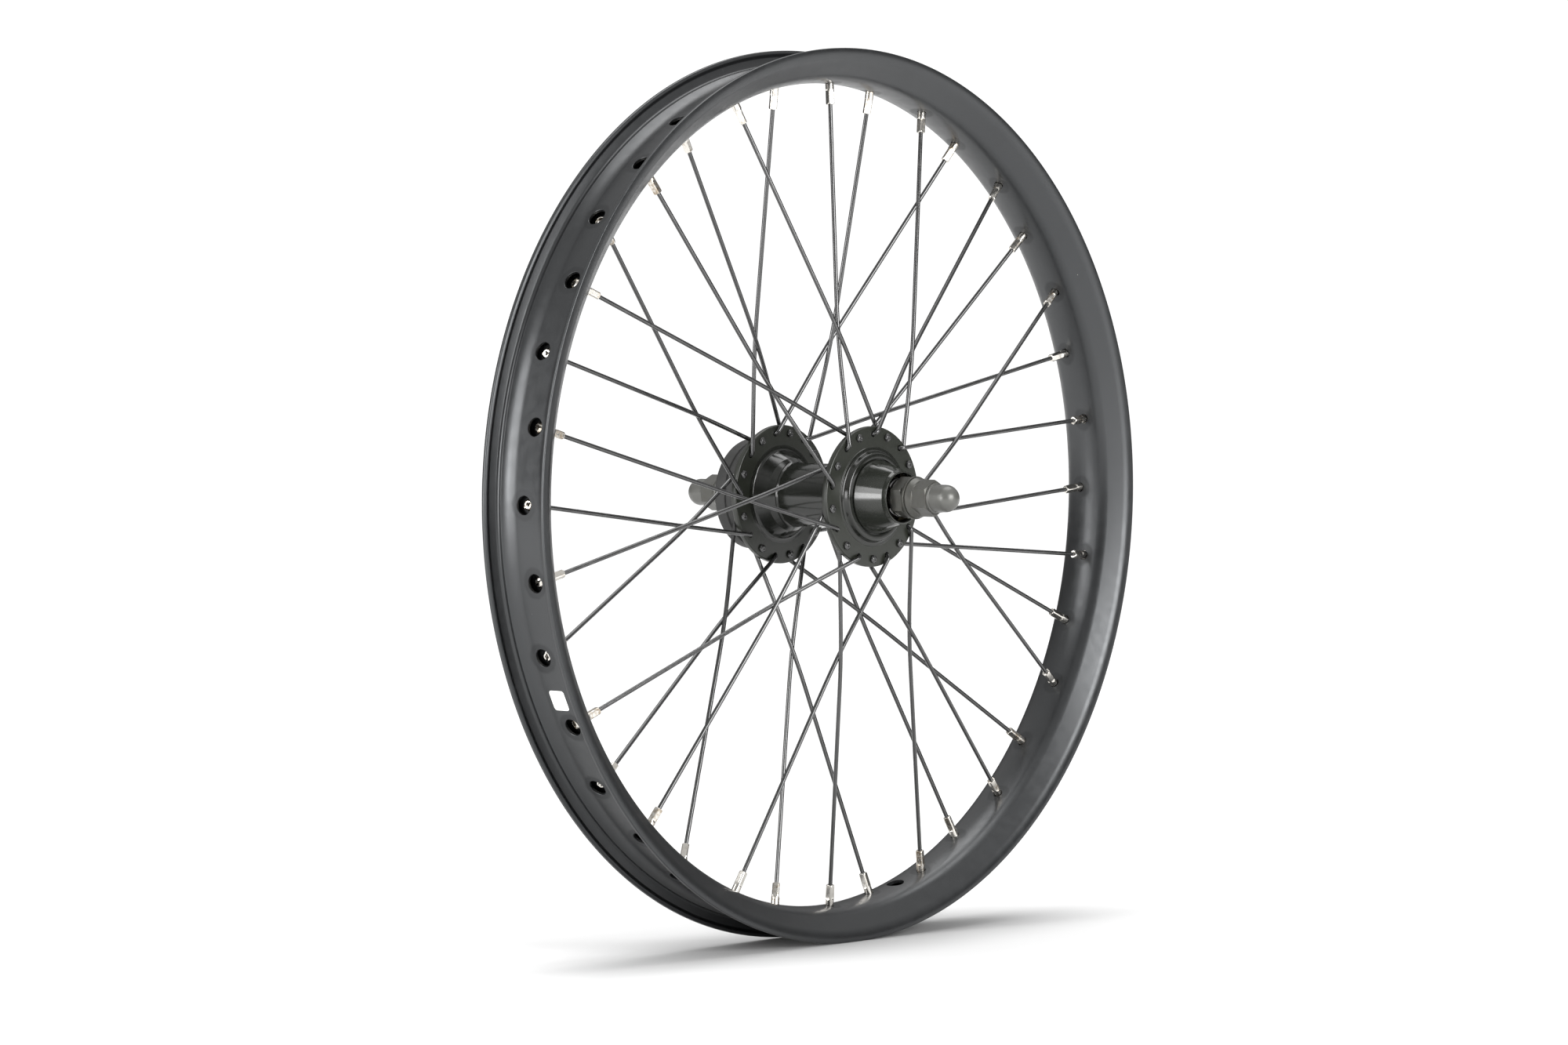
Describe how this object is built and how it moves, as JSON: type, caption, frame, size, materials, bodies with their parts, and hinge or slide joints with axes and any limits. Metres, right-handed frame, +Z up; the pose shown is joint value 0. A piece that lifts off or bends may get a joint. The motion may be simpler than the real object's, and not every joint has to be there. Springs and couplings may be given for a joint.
{
  "type": "spoked bicycle wheel",
  "caption": "Laced rear wheel with double-wall rim, crossed wire spokes, flanged cup-and-cone hub, domed axle nuts and a freewheel thread under a plastic cap.",
  "frame": {"origin": "centre of the rim on the axle line, held there by the axle", "axes": "+Y along the axle to the drive side (the threaded end), +Z up, +X forwards; angles round the wheel run from +X towards +Z"},
  "size_m": [0.42, 0.1669, 0.42],
  "materials": {
    "axle_steel": "zinc-plated steel, rolled threads, lightly oiled",
    "race_steel": "hardened and ground steel",
    "locknut": "dull zinc-plated steel with turned faces",
    "nut_washer": "dark plated steel, serrated face",
    "axle_nut": "satin grey plated steel with a fine cast grain",
    "hub": "gloss black paint over steel, flange faces satin",
    "dust_cap": "gloss black paint over pressed steel",
    "ball": "polished bearing steel",
    "cage": "pressed sheet steel, yellow passivated",
    "protector": "soft black polyethylene with a matt skin",
    "rim": "black anodised aluminium, satin, bead-blasted before anodising",
    "sleeve": "bare extruded aluminium",
    "label": "white paper label under clear film",
    "nipple": "nickel-plated brass, bright, with tarnished flats",
    "spoke": "black oxide stainless wire, satin"
  },
  "bodies": {
    "axle": {"axle": "axle_steel", "cone_left": "race_steel", "cone_right": "race_steel", "lock_washers": "axle_steel", "locknut_left": "locknut", "locknut_right": "locknut"},
    "wheel": {"hub_shell": "hub", "bearing_cup_left": "race_steel", "bearing_cup_right": "race_steel", "dust_cap_left": "dust_cap", "dust_cap_right": "dust_cap", "rim": "rim", "rim_joint_sleeve": "sleeve", "rim_label": "label", "nipples": "nipple", "spoke_01": "spoke", "spoke_02": "spoke", "spoke_03": "spoke", "spoke_04": "spoke", "spoke_05": "spoke", "spoke_06": "spoke", "spoke_07": "spoke", "spoke_08": "spoke", "spoke_09": "spoke", "spoke_10": "spoke", "spoke_11": "spoke", "spoke_12": "spoke", "spoke_13": "spoke", "spoke_14": "spoke", "spoke_15": "spoke", "spoke_16": "spoke", "spoke_17": "spoke", "spoke_18": "spoke", "spoke_19": "spoke", "spoke_20": "spoke", "spoke_21": "spoke", "spoke_22": "spoke", "spoke_23": "spoke", "spoke_24": "spoke", "spoke_25": "spoke", "spoke_26": "spoke", "spoke_27": "spoke", "spoke_28": "spoke", "spoke_29": "spoke", "spoke_30": "spoke", "spoke_31": "spoke", "spoke_32": "spoke", "spoke_33": "spoke", "spoke_34": "spoke", "spoke_35": "spoke", "spoke_36": "spoke"},
    "bearing_left": {"balls_left": "ball", "ball_cage_left": "cage"},
    "bearing_right": {"balls_right": "ball", "ball_cage_right": "cage"},
    "washer_left": {"nut_washer_left": "nut_washer"},
    "washer_right": {"nut_washer_right": "nut_washer"},
    "nut_left": {"axle_nut_left": "axle_nut"},
    "nut_right": {"axle_nut_right": "axle_nut"},
    "protector": {"thread_protector": "protector"}
  },
  "joints": [
    {"name": "wheel_spin", "type": "hinge", "parent": "axle", "child": "wheel", "pos_m": [0, 0, 0], "axis": [0, 1, 0], "continuous": true},
    {"name": "bearing_left_spin", "type": "hinge", "parent": "axle", "child": "bearing_left", "pos_m": [0, -0.033, 0], "axis": [0, 1, 0], "continuous": true},
    {"name": "bearing_right_spin", "type": "hinge", "parent": "axle", "child": "bearing_right", "pos_m": [0, 0.033, 0], "axis": [0, 1, 0], "continuous": true},
    {"name": "nut_left_travel", "type": "slide", "parent": "axle", "child": "washer_left", "axis": [0, -1, 0], "range_m": [0, 0.0145]},
    {"name": "nut_left_turn", "type": "hinge", "parent": "washer_left", "child": "nut_left", "pos_m": [0, -0.06, 0], "axis": [0, -1, 0], "range_deg": [0, 5040]},
    {"name": "nut_right_travel", "type": "slide", "parent": "axle", "child": "washer_right", "axis": [0, 1, 0], "range_m": [-0.002, 0.0145]},
    {"name": "nut_right_turn", "type": "hinge", "parent": "washer_right", "child": "nut_right", "pos_m": [0, 0.066, 0], "axis": [0, 1, 0], "range_deg": [-540, 5040]},
    {"name": "protector_slide", "type": "slide", "parent": "wheel", "child": "protector", "axis": [0, 1, 0], "range_m": [0, 0.06]}
  ],
  "couplings": [
    {"joint": "bearing_left_spin", "follows": "wheel_spin", "ratio": 0.6169},
    {"joint": "bearing_right_spin", "follows": "wheel_spin", "ratio": 0.6169},
    {"joint": "nut_left_travel", "follows": "nut_left_turn", "m_per_rad": 0.00015548},
    {"joint": "nut_right_travel", "follows": "nut_right_turn", "m_per_rad": 0.00015548}
  ]
}
